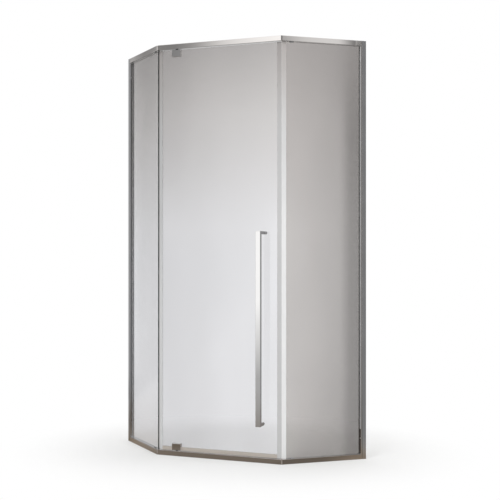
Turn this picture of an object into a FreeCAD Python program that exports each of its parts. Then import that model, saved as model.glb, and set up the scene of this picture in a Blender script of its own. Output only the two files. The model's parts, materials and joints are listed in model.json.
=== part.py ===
import FreeCAD, Part
import math
import os
from collections import namedtuple
from types import SimpleNamespace

import Sketcher
from FreeCAD import Placement, Rotation, Vector

# Driving lengths in millimetres, each written once
SIZES = {
    # Plan and height of the whole enclosure
    "cabin_width": 900,
    "cabin_height": 2000,
    "fixed_side": 446,
    # Extruded rails and the slots that hold the fixed panes
    "rail_depth": 30,
    "rail_height": 24,
    "profile_wall": 1.8,
    "pane_setback": 17.5,
    "slot_width": 10,
    "slot_depth": 13,
    "edge_break": 0.8,
    # Wall channels, and the jambs that slide in them to take up uneven walls
    "channel_reach": 20,
    "channel_wall": 2,
    "jamb_reach": 27,
    "jamb_back_space": 5,
    "slide_clearance": 0.3,
    "wall_hole_radius": 2.75,
    "wall_hole_outer_inset": 150,
    "wall_hole_inner_inset": 700,
    "jamb_cap_thickness": 2,
    "jamb_cap_peg": 9,
    "jamb_screw_inset": 100,
    "jamb_screw_radius": 1.5,
    "jamb_screw_head_radius": 2.6,
    "jamb_screw_head_height": 2,
    "jamb_screw_length": 17,
    # Blocks between rail and jamb, and joints in the front corners
    "end_block_length": 30,
    "tongue_length": 30,
    "joint_web": 6,
    "spigot_length": 52,
    "fit_clearance": 0.2,
    # Fixed panes with their gaskets and clips
    "glass_thickness": 6,
    "glass_arris": 0.5,
    "glass_edge_gap": 3,
    "fixed_nose": 12,
    "clip_inset": 38,
    "clip_length": 18,
    "clip_height": 5,
    "clip_depth": 9,
    "clip_top_depth": 5,
    # Door pane
    "door_glass_thickness": 6,
    "door_gap": 3,
    "hinge_nose": 6,
    "strike_nose": 10,
    "pivot_inset": 86,
    "notch_width": 34,
    "notch_depth": 22,
    "notch_radius": 4,
    # Pivot clamps, pins and bushes
    "clamp_width": 44,
    "clamp_height": 33,
    "clamp_plate": 8,
    "clamp_edge": 1.2,
    "clamp_gasket": 1,
    "notch_clearance": 1,
    "clamp_screw_spacing": 22,
    "clamp_screw_radius": 3,
    "clamp_screw_length": 20,
    "pin_radius": 3,
    "pin_grip": 14,
    "pin_reach": 13,
    "running_clearance": 0.05,
    "lift_clearance": 0.3,
    "bush_wall": 2,
    "bush_length": 12,
    "bush_flange_width": 1.5,
    "bush_flange_height": 2.5,
    # Soft seals round the door
    "seal_wall": 1.2,
    "seal_grip": 10,
    "seal_clearance": 0.5,
    "meeting_gap": 0.6,
    "fin_reach": 11.4,
    "fin_lean": 6,
    "drip_grip": 16,
    "drip_lean": 1.2,
    "magnet_width": 4,
    "magnet_depth": 5,
    # Bar handle on the outside of the door
    "handle_width": 24,
    "handle_depth": 18.5,
    "handle_length": 912,
    "handle_height": 176,
    "handle_inset": 82,
    "handle_standoff": 48,
    "handle_wall": 1.6,
    "handle_edge": 1,
    "handle_cap_thickness": 2,
    "handle_cap_peg": 10,
    "post_size": 14,
    "post_gasket": 1,
    "handle_hole_radius": 5,
    "cap_screw_radius": 3,
    "cap_screw_grip": 20,
    "cap_screw_head_radius": 7.5,
    "cap_screw_head_height": 4,
    "cap_screw_head_edge": 1,
    "inner_knob_length": 40,
    # Cuts run this far past the faces that they leave
    "overrun": 2,
}

# The door crosses the corner at half a right angle, so each rail is mitred at half of that
DOOR_TURN = 45
MITRE_TURN = math.radians(DOOR_TURN / 2)
MITRE_SLOPE = math.tan(MITRE_TURN)
MITRE_COSINE = math.cos(MITRE_TURN)
MITRE_SINE = math.sin(MITRE_TURN)
FULL_TURN = 360

# Sketch plane for each direction of extrusion, and which way that plane faces
PLANES = {"x": ("YZ_Plane", 1), "y": ("XZ_Plane", -1), "z": ("XY_Plane", 1)}
X_WAY = Vector(1, 0, 0)
Y_WAY = Vector(0, 1, 0)
Z_WAY = Vector(0, 0, 1)
TOUCHING = Part.Precision.confusion()

doc = FreeCAD.newDocument("shower_cabin")
sheet = doc.addObject("Spreadsheet::Sheet", "sizes")
for row, (alias, length) in enumerate(SIZES.items(), start=1):
    sheet.set(f"A{row}", alias)
    sheet.set(f"B{row}", str(length))
    sheet.setAlias(f"B{row}", alias)
doc.recompute()


class Size:
    """A length that follows the sheet: its formula, and its value as first built."""

    def __init__(self, formula, value):
        self.formula = formula
        self.value = value

    def __add__(self, other):
        other = as_size(other)
        return Size(f"({self.formula} + {other.formula})", self.value + other.value)

    def __sub__(self, other):
        other = as_size(other)
        return Size(f"({self.formula} - {other.formula})", self.value - other.value)

    def __mul__(self, share):
        return Size(f"({self.formula} * {share!r})", self.value * share)

    def __truediv__(self, share):
        return Size(f"({self.formula} / {share!r})", self.value / share)

    def __neg__(self):
        return Size(f"(0 - {self.formula})", -self.value)


def as_size(length):
    """A bare zero as a Size; a Size as it is."""
    return length if isinstance(length, Size) else Size(repr(length), length)


S = SimpleNamespace(**{alias: Size(f"sizes.{alias}", sheet.get(alias)) for alias in SIZES})

# Frame of one side: where its outer face starts, which way it is turned, and its hand
Side = namedtuple("Side", "x y yaw hand")
half = S.cabin_width / 2
LEFT = Side(-half, half, -2 * DOOR_TURN, 1)
RIGHT = Side(half, -half, 0, -1)
DOOR = Side(-half, half - S.fixed_side, -DOOR_TURN, 1)
LEFT_CORNER = Side(DOOR.x, DOOR.y, -1.5 * DOOR_TURN, 1)
RIGHT_CORNER = Side(half - S.fixed_side, -half, -0.5 * DOOR_TURN, 1)

sub_parts = []


class Piece:
    """A body drawn in its side's frame: x along the side, y inward from the outer face, z up.

    On the right hand x runs the other way, and a top piece is a bottom one turned over."""

    def __init__(self, label, side, top=False, grouped=False):
        self.body = doc.addObject("PartDesign::Body", label)
        self.body.Label = label
        self.hand = side.hand
        self.top = top
        turned = Rotation(Z_WAY, side.yaw)
        self.body.Placement = Placement(Vector(side.x.value, side.y.value, 0), turned)
        self.body.setExpression(".Placement.Base.x", side.x.formula)
        self.body.setExpression(".Placement.Base.y", side.y.formula)
        if not grouped:
            sub_parts.append(self.body)

    def along(self, x):
        return as_size(x) if self.hand > 0 else -as_size(x)

    def up(self, z):
        return S.cabin_height - z if self.top else as_size(z)

    def span(self, axis, start, end):
        """Start and end of an extrusion, turned to the piece's hand and level."""
        if axis == "x" and self.hand < 0:
            return -as_size(end), -as_size(start)
        if axis == "z" and self.top:
            return S.cabin_height - end, S.cabin_height - start
        return as_size(start), as_size(end)

    def flat(self, axis, point):
        """A point of a sketch that faces along axis, turned to the piece's hand and level."""
        first, second = point
        first = as_size(first) if axis == "x" else self.along(first)
        second = as_size(second) if axis == "z" else self.up(second)
        return first, second

    def sketch(self, role, offset):
        """An empty sketch on one of the body's own planes, shifted by offset in that plane's axes."""
        drawn = self.body.newObject("Sketcher::SketchObject", f"{self.body.Name}_sketch")
        drawn.AttachmentSupport = [(origin_plane(self.body, role), "")]
        drawn.MapMode = "FlatFace"
        for name, shift in zip("xyz", offset):
            drawn.setExpression(f".AttachmentOffset.Base.{name}", as_size(shift).formula)
        return drawn

    def extrude(self, kind, axis, base, length, outlines, circles):
        role, facing = PLANES[axis]
        drawn = self.sketch(role, (0, 0, base * facing))
        for outline in outlines:
            draw_outline(drawn, [self.flat(axis, point) for point in outline])
        for radius, centre in circles:
            draw_circle(drawn, radius, self.flat(axis, centre))
        made = self.body.newObject(kind, f"{self.body.Name}_extruded")
        made.Profile = drawn
        made.setExpression("Length", length.formula)

    def add(self, axis, start, end, outlines=(), circles=()):
        """Extrude outlines along axis from start to end; outlines inside others stay hollow."""
        start, end = self.span(axis, start, end)
        base = start if PLANES[axis][1] > 0 else end
        self.extrude("PartDesign::Pad", axis, base, end - start, outlines, circles)

    def cut(self, axis, start, end, outlines=(), circles=()):
        """Take outlines away along axis from start to end."""
        start, end = self.span(axis, start, end)
        base = end if PLANES[axis][1] > 0 else start
        self.extrude("PartDesign::Pocket", axis, base, end - start, outlines, circles)

    def turn(self, axis, centre, outline, kind="PartDesign::Revolution"):
        """Turn an outline of (radius, distance along axis) points round an axis through centre."""
        first, second = centre
        if axis == "z":
            drawn = self.sketch("XZ_Plane", (self.along(first), 0, -second))
            points = [(radius, self.up(distance)) for radius, distance in outline]
        elif axis == "y":
            drawn = self.sketch("XY_Plane", (self.along(first), 0, self.up(second)))
            points = outline
        else:
            drawn = self.sketch("XY_Plane", (0, first, self.up(second)))
            points = [(self.along(distance), radius) for radius, distance in outline]
        draw_outline(drawn, [(as_size(u), as_size(v)) for u, v in points])
        made = self.body.newObject(kind, f"{self.body.Name}_turned")
        made.Profile = drawn
        made.ReferenceAxis = (drawn, ["H_Axis" if axis == "x" else "V_Axis"])
        made.Angle = FULL_TURN

    def bore(self, axis, centre, outline):
        """Take a turned outline away, as the seat of a piece turned from the same outline."""
        self.turn(axis, centre, outline, "PartDesign::Groove")

    def soften(self, kind, measure, length, chosen):
        """Fillet or chamfer those edges of the piece so far that chosen picks."""
        doc.recompute()
        before = self.body.Tip
        names = [f"Edge{n}" for n, edge in enumerate(before.Shape.Edges, start=1) if chosen(edge)]
        made = self.body.newObject(kind, f"{self.body.Name}_softened")
        made.Base = (before, names)
        made.setExpression(measure, length.formula)

    def fillet(self, length, chosen):
        self.soften("PartDesign::Fillet", "Radius", length, chosen)

    def chamfer(self, length, chosen):
        self.soften("PartDesign::Chamfer", "Size", length, chosen)


def origin_plane(body, role):
    return next(plane for plane in body.Origin.OriginFeatures if plane.Role == role)


def pin_down(drawn, index, corner, point):
    """Hold a point of a sketch at distances from its origin that follow the sheet."""
    for kind, length in zip(("DistanceX", "DistanceY"), point):
        held = drawn.addConstraint(Sketcher.Constraint(kind, -1, 1, index, corner, float(length.value)))
        drawn.setExpression(f"Constraints[{held}]", length.formula)


def draw_outline(drawn, points):
    """A closed outline of straight lines."""
    first = drawn.GeometryCount
    places = [Vector(u.value, v.value, 0) for u, v in points]
    ends = places[1:] + places[:1]
    drawn.addGeometry([Part.LineSegment(a, b) for a, b in zip(places, ends)], False)
    for step, point in enumerate(points):
        following = first + (step + 1) % len(points)
        drawn.addConstraint(Sketcher.Constraint("Coincident", first + step, 2, following, 1))
        pin_down(drawn, first + step, 1, point)


def draw_circle(drawn, radius, centre):
    across, up = centre
    index = drawn.addGeometry(Part.Circle(Vector(across.value, up.value, 0), Z_WAY, radius.value), False)
    held = drawn.addConstraint(Sketcher.Constraint("Radius", index, radius.value))
    drawn.setExpression(f"Constraints[{held}]", radius.formula)
    pin_down(drawn, index, 3, centre)


def box(left, right, low, high):
    """Outline of a rectangle."""
    return [(left, low), (right, low), (right, high), (left, high)]


def swapped(outline):
    """The same outline with its two directions exchanged."""
    return [(second, first) for first, second in outline]


def runs_along(edge, way):
    ends = [vertex.Point for vertex in edge.Vertexes]
    return len(ends) == 2 and (ends[1] - ends[0]).cross(way).Length < TOUCHING


def lies_at(edge, way, *places):
    """Whether the whole edge lies in one of the planes at places along way."""
    heights = [vertex.Point.dot(way) for vertex in edge.Vertexes]
    return any(all(abs(height - place.value) < TOUCHING for height in heights) for place in places)


def group(label, pieces):
    """Identical loose pieces that share one node."""
    gathered = doc.addObject("Part::Compound", label)
    gathered.Label = label
    gathered.Links = [piece.body for piece in pieces]
    sub_parts.append(gathered)


# Places across a fixed side
middle = S.pane_setback
channel_middle = S.rail_depth / 2
slot_near = middle - S.slot_width / 2
slot_far = middle + S.slot_width / 2
pane_near = middle - S.glass_thickness / 2
pane_far = middle + S.glass_thickness / 2
tongue_near = S.profile_wall + S.fit_clearance
tongue_far = S.rail_depth - tongue_near
jamb_near = S.channel_wall + S.slide_clearance
jamb_far = S.rail_depth - jamb_near

# Places along and up a fixed side
jamb_back = S.channel_wall + S.jamb_back_space
jamb_slot_end = S.jamb_reach - S.slot_depth
jamb_top = S.cabin_height - S.jamb_cap_thickness
rail_start = S.jamb_reach + S.end_block_length
half_web = S.joint_web / 2 / MITRE_COSINE
fixed_front = S.fixed_side - middle * MITRE_SLOPE - S.fixed_nose
slot_floor = S.rail_height - S.slot_depth
pane_low = slot_floor + S.glass_edge_gap
tongue_low = S.profile_wall + S.fit_clearance
tongue_high = slot_floor - tongue_low

# Places on the door
door_side = (S.cabin_width - S.fixed_side) * math.sqrt(2)
door_near = middle - S.door_glass_thickness / 2
door_far = middle + S.door_glass_thickness / 2
door_left = middle * MITRE_SLOPE + S.hinge_nose
door_right = door_side - middle * MITRE_SLOPE - S.strike_nose
door_low = S.rail_height + S.door_gap
door_high = S.cabin_height - door_low
grip_near = door_near - S.clamp_gasket
grip_far = door_far + S.clamp_gasket

# Places at the pivots
pivot = door_left + S.pivot_inset
pivot_centre = (pivot, middle)
notch_left = pivot - S.notch_width / 2
notch_right = pivot + S.notch_width / 2
notch_high = door_low + S.notch_depth
clamp_left = pivot - S.clamp_width / 2
clamp_right = pivot + S.clamp_width / 2
clamp_low = S.rail_height + S.bush_flange_height + S.lift_clearance
clamp_high = clamp_low + S.clamp_height
clamp_middle = clamp_low + S.clamp_height / 2
bush_radius = S.pin_radius + S.running_clearance + S.bush_wall

# Places on the handle
handle_middle = door_right - S.handle_inset
handle_left = handle_middle - S.handle_width / 2
handle_right = handle_middle + S.handle_width / 2
handle_back = door_near - S.handle_standoff
handle_front = handle_back - S.handle_depth
handle_top = S.handle_height + S.handle_length
post_foot = door_near - S.post_gasket
post_centres = [(handle_middle, S.handle_height + S.post_size / 2),
                (handle_middle, handle_top - S.post_size / 2)]


def slotted_outline(near, far, floor, mouth, slot_end):
    """Section of a profile whose slot opens at the mouth, with its outer corners broken."""
    broken = S.edge_break
    return [(near + broken, floor), (far - broken, floor), (far, floor + broken), (far, mouth - broken),
            (far - broken, mouth), (slot_far, mouth), (slot_far, slot_end), (slot_near, slot_end),
            (slot_near, mouth), (near + broken, mouth), (near, mouth - broken), (near, floor + broken)]


def slotted_chamber(near, far, floor, mouth, slot_end):
    """Hollow of that section, one wall in from every face."""
    wall = S.profile_wall
    return [(near + wall, floor + wall), (far - wall, floor + wall), (far - wall, mouth - wall),
            (slot_far + wall, mouth - wall), (slot_far + wall, slot_end - wall),
            (slot_near - wall, slot_end - wall), (slot_near - wall, mouth - wall),
            (near + wall, mouth - wall)]


def closed_outline():
    """Section of the rails above and below the door, which have no slot."""
    broken = S.edge_break
    far = S.rail_depth
    high = S.rail_height
    return [(broken, 0), (far - broken, 0), (far, broken), (far, high - broken), (far - broken, high),
            (broken, high), (0, high - broken), (0, broken)]


def lining(mouth, slot_end):
    """Section of the gasket between a slot and the fixed pane."""
    pane_end = slot_end + S.glass_edge_gap
    return [(slot_near, mouth), (slot_near, slot_end), (slot_far, slot_end), (slot_far, mouth),
            (pane_far, mouth), (pane_far, pane_end), (pane_near, pane_end), (pane_near, mouth)]


def past_mitre(corner):
    """Plan outline of what the mitre takes off a rail that runs up to corner."""
    near = -S.overrun
    far = S.rail_depth + S.overrun
    end = corner - half_web
    return [(end - near * MITRE_SLOPE, near), (corner + S.overrun, near), (corner + S.overrun, far),
            (end - far * MITRE_SLOPE, far)]


def before_mitre():
    """Plan outline of what the mitre takes off the start of a door rail."""
    near = -S.overrun
    far = S.rail_depth + S.overrun
    return [(half_web + near * MITRE_SLOPE, near), (half_web + far * MITRE_SLOPE, far),
            (near, far), (near, near)]


def jamb_screw_outline():
    """A pan-head screw in the end face of a jamb."""
    face = S.jamb_reach
    top = face + S.jamb_screw_head_height
    end = face - S.jamb_screw_length
    return [(0, top), (S.jamb_screw_head_radius, top), (S.jamb_screw_head_radius, face),
            (S.jamb_screw_radius, face), (S.jamb_screw_radius, end), (0, end)]


jamb_screw_centre = ((jamb_near + slot_near) / 2, S.jamb_screw_inset)
jamb_screw_centres = [jamb_screw_centre, (jamb_screw_centre[0], S.cabin_height - S.jamb_screw_inset)]
clamp_screw_centres = [(pivot - S.clamp_screw_spacing / 2, clamp_middle),
                       (pivot + S.clamp_screw_spacing / 2, clamp_middle)]

glass_clips = []
jamb_screws = []


def build_wall_side(hand, side):
    """Wall channel, jamb and cap of one side."""
    channel = Piece(f"wall_channel_{hand}", side)
    channel.add("z", 0, jamb_top, [[
        (0, 0), (S.channel_reach, 0), (S.channel_reach, S.channel_wall), (S.channel_wall, S.channel_wall),
        (S.channel_wall, S.rail_depth - S.channel_wall), (S.channel_reach, S.rail_depth - S.channel_wall),
        (S.channel_reach, S.rail_depth), (0, S.rail_depth)]])
    insets = (S.wall_hole_outer_inset, S.wall_hole_inner_inset)
    heights = [height for inset in insets for height in (inset, S.cabin_height - inset)]
    channel.cut("x", 0, S.channel_wall, circles=[(S.wall_hole_radius, (channel_middle, z)) for z in heights])

    jamb = Piece(f"jamb_{hand}", side)
    section = (jamb_near, jamb_far, jamb_back, S.jamb_reach, jamb_slot_end)
    jamb.add("z", 0, jamb_top, [swapped(slotted_outline(*section)), swapped(slotted_chamber(*section))])
    for number, centre in enumerate(jamb_screw_centres):
        jamb.bore("x", centre, jamb_screw_outline())
        screw = Piece(f"jamb_screw_{hand}_{number}", side, grouped=True)
        screw.turn("x", centre, jamb_screw_outline())
        jamb_screws.append(screw)

    cap = Piece(f"jamb_cap_{hand}", side, top=True)
    cap.add("z", 0, S.jamb_cap_thickness, [box(0, S.jamb_reach, 0, S.rail_depth)])
    cap.add("z", 0, S.jamb_cap_thickness + S.jamb_cap_peg, [box(
        S.channel_wall + S.fit_clearance, jamb_back - S.fit_clearance, jamb_near, jamb_far)])


def build_fixed_rail(level, hand, side):
    """Rail, end block, gasket and clip along the foot or head of a fixed pane."""
    top = level == "top"
    section = (as_size(0), S.rail_depth, as_size(0), S.rail_height, slot_floor)

    rail = Piece(f"{level}_rail_{hand}", side, top)
    rail.add("x", rail_start, S.fixed_side, [slotted_outline(*section), slotted_chamber(*section)])
    rail.cut("z", -S.overrun, S.rail_height + S.overrun, [past_mitre(S.fixed_side)])

    block = Piece(f"end_block_{level}_{hand}", side, top)
    block.add("x", S.jamb_reach, rail_start, [slotted_outline(*section)])
    block.add("x", S.jamb_reach, rail_start + S.tongue_length, [
        box(tongue_near, tongue_far, tongue_low, tongue_high)])

    gasket = Piece(f"{level}_gasket_{hand}", side, top)
    gasket.add("x", S.jamb_reach, fixed_front, [lining(S.rail_height, slot_floor)])

    clip = Piece(f"glass_clip_{level}_{hand}", side, top, grouped=True)
    clip_end = fixed_front - S.clip_inset + S.clip_length / 2
    clip_top = S.rail_height + S.clip_height
    clip.add("x", clip_end - S.clip_length, clip_end, [[
        (pane_near - S.clip_depth, S.rail_height), (pane_near, S.rail_height), (pane_near, clip_top),
        (pane_near - S.clip_top_depth, clip_top)]])
    glass_clips.append(clip)


def build_fixed_pane(hand, side):
    """Fixed pane and the gasket in its jamb."""
    pane = Piece(f"fixed_glass_{hand}", side)
    pane.add("y", pane_near, pane_far, [box(
        jamb_slot_end + S.glass_edge_gap, fixed_front, pane_low, S.cabin_height - pane_low)])
    pane.chamfer(S.glass_arris, lambda edge: lies_at(edge, Y_WAY, pane_near, pane_far))

    gasket = Piece(f"jamb_gasket_{hand}", side)
    gasket.add("z", S.rail_height, S.cabin_height - S.rail_height, [
        swapped(lining(S.jamb_reach, jamb_slot_end))])


def build_door_rail(label, bush_label, top):
    """Rail above or below the door, and the bush that its pivot pin turns in."""
    rail = Piece(label, DOOR, top)
    chamber = box(S.profile_wall, S.rail_depth - S.profile_wall,
                  S.profile_wall, S.rail_height - S.profile_wall)
    rail.add("x", 0, door_side, [closed_outline(), chamber])
    rail.cut("z", -S.overrun, S.rail_height + S.overrun, [past_mitre(door_side), before_mitre()])
    rail.cut("z", S.rail_height - S.profile_wall, S.rail_height, circles=[(bush_radius, pivot_centre)])

    bush = Piece(bush_label, DOOR, top)
    bore_radius = S.pin_radius + S.running_clearance
    flange_radius = bush_radius + S.bush_flange_width
    flange_top = S.rail_height + S.bush_flange_height
    bush_low = S.rail_height - S.bush_length
    bush.turn("z", pivot_centre, [
        (bore_radius, bush_low), (bush_radius, bush_low), (bush_radius, S.rail_height),
        (flange_radius, S.rail_height), (flange_radius, flange_top), (bore_radius, flange_top)])


def corner_point(run, depth, way):
    """A place run along and depth into the rail on one side of a front corner, in the corner's frame."""
    across = (depth * MITRE_SINE - run * MITRE_COSINE) * way
    return across, run * MITRE_SINE + depth * MITRE_COSINE


def build_corner_joint(level, hand, corner):
    """Joint whose web shows between two mitred rails and whose spigots fill their chambers."""
    joint = Piece(f"corner_joint_{level}_{hand}", corner, top=level == "top")
    nose = S.joint_web / 2 * MITRE_SLOPE
    heel = nose + S.rail_depth / MITRE_COSINE
    joint.add("z", 0, S.rail_height, [box(-S.joint_web / 2, S.joint_web / 2, nose, heel)])
    joint.chamfer(S.edge_break, lambda edge: lies_at(edge, Y_WAY, nose))
    joint.add("z", tongue_low, tongue_high, [[
        corner_point(S.spigot_length, tongue_near, 1), (0, tongue_near / MITRE_COSINE),
        corner_point(S.spigot_length, tongue_near, -1), corner_point(S.spigot_length, tongue_far, -1),
        (0, tongue_far / MITRE_COSINE), corner_point(S.spigot_length, tongue_far, 1)]])


def build_door_glass():
    pane = Piece("door_glass", DOOR)
    pane.add("y", door_near, door_far, [box(door_left, door_right, door_low, door_high)],
             [(S.handle_hole_radius, centre) for centre in post_centres])
    notch_low = S.cabin_height - notch_high
    pane.cut("y", door_near, door_far, [
        box(notch_left, notch_right, door_low - S.overrun, notch_high),
        box(notch_left, notch_right, notch_low, door_high + S.overrun)])
    pane.fillet(S.notch_radius, lambda edge: runs_along(edge, Y_WAY)
                and lies_at(edge, Z_WAY, notch_low, notch_high))
    pane.chamfer(S.glass_arris, lambda edge: len(edge.Vertexes) == 2
                 and lies_at(edge, Y_WAY, door_near, door_far))


def build_clamp(level):
    """Pivot clamp: an outer plate whose boss fills the notch of the glass and holds the pin, an inner
    plate, and the screws and gaskets between them."""
    top = level == "top"
    face = box(clamp_left, clamp_right, clamp_low, clamp_high)
    outer_face = grip_near - S.clamp_plate
    inner_face = grip_far + S.clamp_plate
    boss_high = notch_high - S.notch_clearance
    pin_high = clamp_low + S.pin_grip
    pin_circle = (S.pin_radius, pivot_centre)
    screw_circles = [(S.clamp_screw_radius, centre) for centre in clamp_screw_centres]

    outer = Piece(f"clamp_outer_{level}", DOOR, top)
    outer.add("y", outer_face, grip_near, [face])
    outer.chamfer(S.clamp_edge, lambda edge: lies_at(edge, Y_WAY, outer_face))
    outer.add("y", grip_near, grip_far, [box(
        notch_left + S.notch_clearance, notch_right - S.notch_clearance, clamp_low, boss_high)])
    outer.fillet(S.notch_radius - S.notch_clearance, lambda edge: runs_along(edge, Y_WAY)
                 and lies_at(edge, Z_WAY, outer.up(boss_high)))
    outer.cut("z", clamp_low, pin_high, circles=[pin_circle])

    inner = Piece(f"clamp_inner_{level}", DOOR, top)
    inner.add("y", grip_far, inner_face, [face])
    inner.chamfer(S.clamp_edge, lambda edge: lies_at(edge, Y_WAY, inner_face))

    pin = Piece(f"pivot_pin_{level}", DOOR, top)
    pin.add("z", clamp_low - S.pin_reach, pin_high, circles=[pin_circle])

    screws = Piece(f"clamp_screw_pair_{level}", DOOR, top, grouped=True)
    screw_end = inner_face - S.clamp_screw_length
    screws.add("y", screw_end, inner_face, circles=screw_circles)
    for drilled in (inner, outer):
        drilled.cut("y", screw_end, inner_face, circles=screw_circles)

    gaskets = Piece(f"clamp_gasket_pair_{level}", DOOR, top, grouped=True)
    around = [(clamp_left, door_low), (notch_left, door_low), (notch_left, notch_high),
              (notch_right, notch_high), (notch_right, door_low), (clamp_right, door_low),
              (clamp_right, clamp_high), (clamp_left, clamp_high)]
    gaskets.add("y", grip_near, door_near, [around])
    gaskets.add("y", door_far, grip_far, [around])
    return screws, gaskets


def magnet_seal_outline(edge, nose, pane_from, pane_to):
    """Section of a magnetic seal that grips a pane at edge and meets its partner on the mitre."""
    near = pane_from - S.seal_wall
    far = pane_to + S.seal_wall
    root = edge - S.seal_grip
    return [(root, near), (nose - near * MITRE_SLOPE, near), (nose - far * MITRE_SLOPE, far), (root, far),
            (root, pane_to), (edge, pane_to), (edge, pane_from), (root, pane_from)]


def magnet_outline(edge):
    return box(edge + S.seal_wall, edge + S.seal_wall + S.magnet_width,
               middle - S.magnet_depth / 2, middle + S.magnet_depth / 2)


def build_magnet_seal(seal_label, magnet_label, side, edge, corner, pane, low):
    """Magnetic seal along a free edge, with the magnet strip that it holds."""
    nose = corner - S.meeting_gap / 2 / MITRE_COSINE
    high = S.cabin_height - low
    seal = Piece(seal_label, side)
    seal.add("z", low, high, [magnet_seal_outline(edge, nose, *pane), magnet_outline(edge)])
    magnet = Piece(magnet_label, side)
    magnet.add("z", low, high, [magnet_outline(edge)])


def build_hinge_seal():
    """Seal on the hinge edge of the door, whose fin leans inward beside the left pane."""
    near = door_near - S.seal_wall
    far = door_far + S.seal_wall
    root = door_left + S.seal_grip
    back = door_left - S.seal_wall
    tip = door_left - S.fin_reach
    fin_far = middle + S.fin_lean
    seal = Piece("hinge_seal", DOOR)
    seal.add("z", door_low, door_high, [[
        (root, near), (back, near), (back, far - S.seal_wall * 2), (tip, fin_far - S.seal_wall),
        (tip, fin_far), (back, far), (root, far), (root, door_far), (door_left, door_far),
        (door_left, door_near), (root, door_near)]])


def build_drip_seal():
    """Seal along the foot of the door, in two lengths on either side of the clamp."""
    near = door_near - S.seal_wall
    far = door_far + S.seal_wall
    high = door_low + S.drip_grip
    base = door_low - S.seal_wall
    tip = S.rail_height + S.seal_clearance
    half_fin = S.seal_wall / 2
    section = [(near, high), (near, base), (middle - half_fin, base),
               (middle + S.drip_lean - half_fin, tip), (middle + S.drip_lean + half_fin, tip),
               (middle + half_fin, base), (far, base), (far, high), (door_far, high),
               (door_far, door_low), (door_near, door_low), (door_near, high)]
    ends = S.seal_grip + S.seal_clearance
    seal = Piece("drip_seal", DOOR)
    seal.add("x", door_left + ends, clamp_left - S.seal_clearance, [section])
    seal.add("x", clamp_right + S.seal_clearance, door_right - ends, [section])


def build_handle():
    """Long bar on two posts, held by screws that pass through the glass from inside.

    The head of the lower screw is a flat cap, and that of the upper one a knob to pull the door by."""
    outer = box(handle_left, handle_right, handle_front, handle_back)
    hollow = (handle_left + S.handle_wall, handle_right - S.handle_wall,
              handle_front + S.handle_wall, handle_back - S.handle_wall)
    tube_low = S.handle_height + S.handle_cap_thickness
    tube_high = handle_top - S.handle_cap_thickness

    def outer_corner(edge):
        return runs_along(edge, Z_WAY) and lies_at(edge, X_WAY, handle_left, handle_right)

    bar = Piece("handle_bar", DOOR)
    bar.add("z", tube_low, tube_high, [outer, box(*hollow)])
    bar.fillet(S.handle_edge, outer_corner)

    peg = (hollow[0] + S.fit_clearance, hollow[1] - S.fit_clearance,
           hollow[2] + S.fit_clearance, hollow[3] - S.fit_clearance)
    ends = []
    for name, start, end, peg_start, peg_end in (
            ("low", S.handle_height, tube_low, S.handle_height, tube_low + S.handle_cap_peg),
            ("high", tube_high, handle_top, tube_high - S.handle_cap_peg, handle_top)):
        end_cap = Piece(f"handle_end_cap_{name}", DOOR, grouped=True)
        end_cap.add("z", start, end, [outer])
        end_cap.fillet(S.handle_edge, outer_corner)
        end_cap.add("z", peg_start, peg_end, [box(*peg)])
        ends.append(end_cap)
    group("handle_end_caps", ends)

    half_post = S.post_size / 2
    feet = [box(x - half_post, x + half_post, z - half_post, z + half_post) for x, z in post_centres]
    screw_end = post_foot - S.cap_screw_grip
    posts = Piece("handle_posts", DOOR)
    posts.add("y", handle_back, post_foot, feet)
    posts.cut("y", screw_end, post_foot, circles=[(S.cap_screw_radius, centre) for centre in post_centres])

    gaskets = Piece("handle_gaskets", DOOR)
    gaskets.add("y", post_foot, door_near, feet,
                [(S.handle_hole_radius, centre) for centre in post_centres])

    screws = []
    heads = (("low", S.cap_screw_head_height), ("high", S.inner_knob_length))
    for (name, head_length), centre in zip(heads, post_centres):
        head_top = door_far + head_length
        screw = Piece(f"handle_cap_screw_{name}", DOOR, grouped=True)
        screw.turn("y", centre, [
            (0, screw_end), (S.cap_screw_radius, screw_end), (S.cap_screw_radius, door_far),
            (S.cap_screw_head_radius, door_far), (S.cap_screw_head_radius, head_top - S.cap_screw_head_edge),
            (S.cap_screw_head_radius - S.cap_screw_head_edge, head_top), (0, head_top)])
        screws.append(screw)
    group("handle_cap_screws", screws)


# Fixed frame
for hand, side in (("left", LEFT), ("right", RIGHT)):
    build_wall_side(hand, side)
    build_fixed_pane(hand, side)
    for level in ("bottom", "top"):
        build_fixed_rail(level, hand, side)
build_door_rail("sill_rail", "pivot_bush_bottom", top=False)
build_door_rail("header_rail", "pivot_bush_top", top=True)
for hand, corner in (("left", LEFT_CORNER), ("right", RIGHT_CORNER)):
    for level in ("bottom", "top"):
        build_corner_joint(level, hand, corner)
build_magnet_seal("strike_seal", "strike_magnet", RIGHT, fixed_front, S.fixed_side,
                  (pane_near, pane_far), S.rail_height + S.seal_clearance)
group("jamb_screws", jamb_screws)
group("glass_clips", glass_clips)

# Door
build_door_glass()
clamp_screws = []
clamp_gaskets = []
for level in ("bottom", "top"):
    level_screws, level_gaskets = build_clamp(level)
    clamp_screws.append(level_screws)
    clamp_gaskets.append(level_gaskets)
group("clamp_screws", clamp_screws)
group("clamp_gaskets", clamp_gaskets)
build_magnet_seal("door_seal", "door_magnet", DOOR, door_right, door_side,
                  (door_near, door_far), door_low)
build_hinge_seal()
build_drip_seal()
build_handle()

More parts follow.
